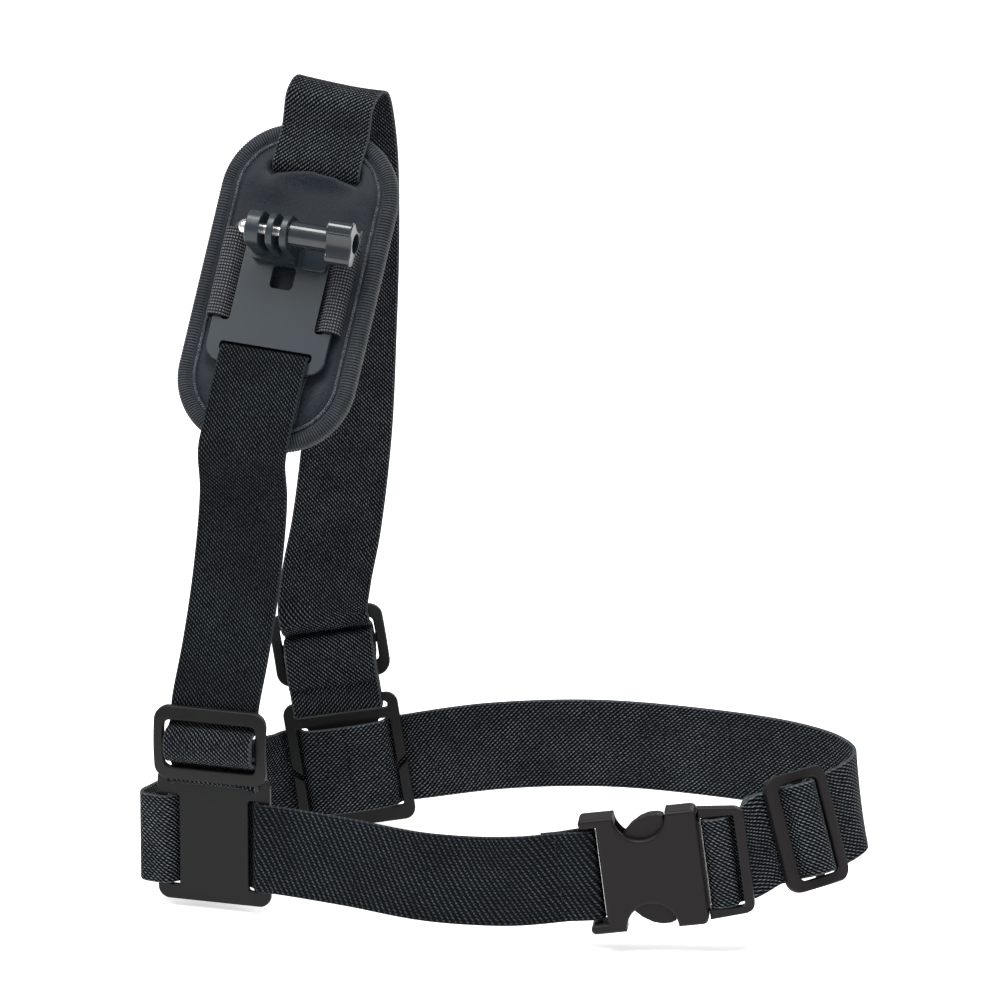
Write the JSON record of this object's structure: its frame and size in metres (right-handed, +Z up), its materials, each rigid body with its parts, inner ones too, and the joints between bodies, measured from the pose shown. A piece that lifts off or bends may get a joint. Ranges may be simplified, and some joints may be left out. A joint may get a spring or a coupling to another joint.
{
  "type": "camera shoulder harness",
  "caption": "Single-shoulder elastic harness with a padded camera mount, hook plates, sliders, a waist belt and a side-release buckle.",
  "frame": {"origin": "underside of the fold at the top of the shoulder strap, where it bears on the shoulder", "axes": "+Z up as worn, -Y to the wearer's front, +X along the front belt from the hook plate towards the buckle"},
  "size_m": [0.2928, 0.1412, 0.3311],
  "materials": {
    "webbing": "black elastic webbing, diagonal weave",
    "ribbed_webbing": "ribbed nylon webbing",
    "pad_cloth": "smooth stretch cloth over foam",
    "binding_tape": "ribbed edge tape",
    "stitching": "twisted thread",
    "satin_plastic": "satin moulded nylon",
    "grained_plastic": "fine-grained moulded acetal",
    "gloss_plastic": "glossy moulded nylon",
    "steel": "bright plated steel"
  },
  "bodies": {
    "root": {"belt_adjuster": "webbing", "belt_front_crossing": "webbing", "belt_front_run": "webbing", "belt_left_turn": "webbing", "belt_rear_crossing": "webbing", "belt_rear_run": "webbing", "buckle_plug": "grained_plastic", "cap_nut": "steel", "front_hook_plate": "satin_plastic", "front_strap": "webbing", "front_strap_adjuster": "webbing", "mount_plate": "gloss_plastic", "pad_binding": "binding_tape", "pad_body": "pad_cloth", "pad_topstitch": "stitching", "pad_webbing": "ribbed_webbing", "rear_hook_plate": "satin_plastic", "rear_strap_adjuster": "webbing", "shoulder_strap_front": "webbing", "shoulder_strap_rear": "webbing"},
    "screw_shank": {"screw_shank": "steel"},
    "screw_knob": {"screw_knob": "gloss_plastic"},
    "buckle_socket": {"buckle_socket": "grained_plastic", "belt_socket_fold": "webbing"},
    "latch_arm_upper": {"latch_arm_upper": "grained_plastic"},
    "latch_arm_lower": {"latch_arm_lower": "grained_plastic"},
    "front_slider": {"front_slider": "satin_plastic"},
    "rear_slider": {"rear_slider": "satin_plastic"},
    "belt_slider": {"belt_slider": "grained_plastic"}
  },
  "joints": [
    {"name": "shank_travel", "type": "slide", "parent": "root", "child": "screw_shank", "axis": [0.9969, 0, -0.0785], "range_m": [0, 0.00405]},
    {"name": "knob_turn", "type": "hinge", "parent": "screw_shank", "child": "screw_knob", "pos_m": [-0.01091, -0.0482, -0.05011], "axis": [0.9969, 0, -0.0785], "range_deg": [0, 1800]},
    {"name": "buckle_release", "type": "slide", "parent": "root", "child": "buckle_socket", "axis": [-0.966, -0.223, -0.1305], "range_m": [0, 0.036], "deforming": ["belt_front_run", "latch_arm_upper", "latch_arm_lower"]},
    {"name": "latch_upper_squeeze", "type": "hinge", "parent": "root", "child": "latch_arm_upper", "pos_m": [0.17463, -0.08614, -0.27649], "axis": [0.225, -0.9744, 0], "range_deg": [0, 8], "stiffness_Nm_per_rad": 0.9},
    {"name": "latch_lower_squeeze", "type": "hinge", "parent": "root", "child": "latch_arm_lower", "pos_m": [0.17806, -0.08535, -0.30325], "axis": [-0.225, 0.9744, 0], "range_deg": [0, 8], "stiffness_Nm_per_rad": 0.9},
    {"name": "front_slider_travel", "type": "slide", "parent": "root", "child": "front_slider", "axis": [0, 0, 1], "range_m": [0, 0.015], "deforming": ["front_strap_adjuster"]},
    {"name": "rear_slider_travel", "type": "slide", "parent": "root", "child": "rear_slider", "axis": [-0.1511, -0.0405, 0.9877], "range_m": [0, 0.012], "deforming": ["rear_strap_adjuster"]},
    {"name": "belt_slider_travel", "type": "slide", "parent": "root", "child": "belt_slider", "axis": [0.5728, 0.818, 0.0523], "range_m": [0, 0.01], "deforming": ["belt_adjuster"]}
  ],
  "couplings": [
    {"joint": "shank_travel", "follows": "knob_turn", "m_per_rad": 0.00012732}
  ]
}
